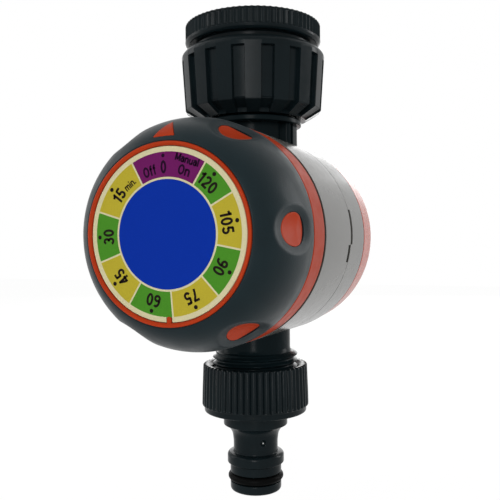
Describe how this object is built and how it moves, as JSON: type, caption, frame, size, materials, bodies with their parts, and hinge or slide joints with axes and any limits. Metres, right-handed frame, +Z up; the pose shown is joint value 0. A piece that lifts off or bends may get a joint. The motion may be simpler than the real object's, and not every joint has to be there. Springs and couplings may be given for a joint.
{
  "type": "drip irrigation timer",
  "caption": "Mechanical garden water timer: a winding knob with a printed minute dial on a drum housing, a swivel nut and thread reducer above and a click-fit hose nipple below.",
  "frame": {"origin": "centre of the thread reducer's flat top rim, where the tap's spout enters", "axes": "+Z up along the water pipe, -Y out of the dial, the knob's axis along Y"},
  "size_m": [0.0616, 0.0876, 0.1428],
  "materials": {
    "fitting_black": "smooth moulded black plastic",
    "grip_soft_grey": "soft-touch overmould, matt",
    "shell_orange": "satin moulded plastic",
    "housing_grey": "satin moulded plastic",
    "dial_print": "printed label",
    "seal_rubber": "matt seal rubber",
    "wheel_brass": "machined",
    "bright_steel": "plated",
    "filter_mesh": "woven wire",
    "port_ceramic": "lapped ceramic"
  },
  "bodies": {
    "housing": {"front_shell": "housing_grey", "rear_shell": "housing_grey", "back_cover": "shell_orange", "cover_screw_1": "bright_steel", "cover_screw_2": "bright_steel", "cover_screw_3": "bright_steel", "cover_screw_4": "bright_steel", "valve_body": "fitting_black", "valve_bonnet": "fitting_black", "bonnet_screw_1": "bright_steel", "bonnet_screw_2": "bright_steel", "bonnet_screw_3": "bright_steel", "port_disc": "port_ceramic", "spindle_oring": "seal_rubber", "spigot_seal": "seal_rubber", "movement_front_plate": "wheel_brass", "movement_rear_plate": "wheel_brass", "movement_pillar_1": "bright_steel", "movement_pillar_2": "bright_steel", "movement_pillar_3": "bright_steel", "mainspring": "bright_steel"},
    "knob": {"knob_grip": "grip_soft_grey", "knob_shell": "shell_orange", "dial_label": "dial_print", "knob_screw": "bright_steel", "knob_spindle": "bright_steel", "great_wheel": "wheel_brass", "valve_rotor": "port_ceramic"},
    "idler": {"idler_wheel": "wheel_brass"},
    "escape": {"escape_wheel": "wheel_brass"},
    "balance": {"balance_wheel": "wheel_brass"},
    "inlet_nut": {"swivel_nut": "fitting_black"},
    "inlet_seals": {"inlet_filter": "filter_mesh", "inlet_washer": "seal_rubber"},
    "reducer": {"reducer": "fitting_black"},
    "outlet_seal": {"outlet_washer": "seal_rubber"},
    "adaptor": {"tap_adaptor": "fitting_black", "nipple_oring": "seal_rubber"}
  },
  "joints": [
    {"name": "knob_turn", "type": "hinge", "parent": "housing", "child": "knob", "pos_m": [0, 0, -0.0645], "axis": [0, 1, 0], "range_deg": [-20, 316.7]},
    {"name": "idler_spin", "type": "hinge", "parent": "housing", "child": "idler", "pos_m": [0.01232, 0, -0.0645], "axis": [0, 1, 0], "range_deg": [-1905, 125]},
    {"name": "escape_spin", "type": "hinge", "parent": "housing", "child": "escape", "pos_m": [0.01079, 0, -0.05583], "axis": [0, 1, 0], "range_deg": [-485, 7605]},
    {"name": "balance_swing", "type": "hinge", "parent": "housing", "child": "balance", "pos_m": [0.00249, 0, -0.05013], "axis": [0, 1, 0], "range_deg": [-6, 6]},
    {"name": "nut_spin", "type": "hinge", "parent": "housing", "child": "inlet_nut", "pos_m": [0, 0, -0.0187], "axis": [0, 0, 1], "continuous": true},
    {"name": "reducer_travel", "type": "slide", "parent": "inlet_nut", "child": "inlet_seals", "axis": [0, 0, 1], "range_m": [0, 0.0093]},
    {"name": "reducer_turn", "type": "hinge", "parent": "inlet_seals", "child": "reducer", "pos_m": [0, 0, -0.01], "axis": [0, 0, 1], "range_deg": [0, 1440]},
    {"name": "adaptor_travel", "type": "slide", "parent": "housing", "child": "outlet_seal", "axis": [0, 0, -1], "range_m": [0, 0.0073]},
    {"name": "adaptor_turn", "type": "hinge", "parent": "outlet_seal", "child": "adaptor", "pos_m": [0, 0, -0.12], "axis": [0, 0, -1], "range_deg": [0, 1440]}
  ],
  "couplings": [
    {"joint": "idler_spin", "follows": "knob_turn", "ratio": -6},
    {"joint": "escape_spin", "follows": "knob_turn", "ratio": 24},
    {"joint": "reducer_travel", "follows": "reducer_turn", "m_per_rad": 0.00036749},
    {"joint": "adaptor_travel", "follows": "adaptor_turn", "m_per_rad": 0.00028871}
  ]
}
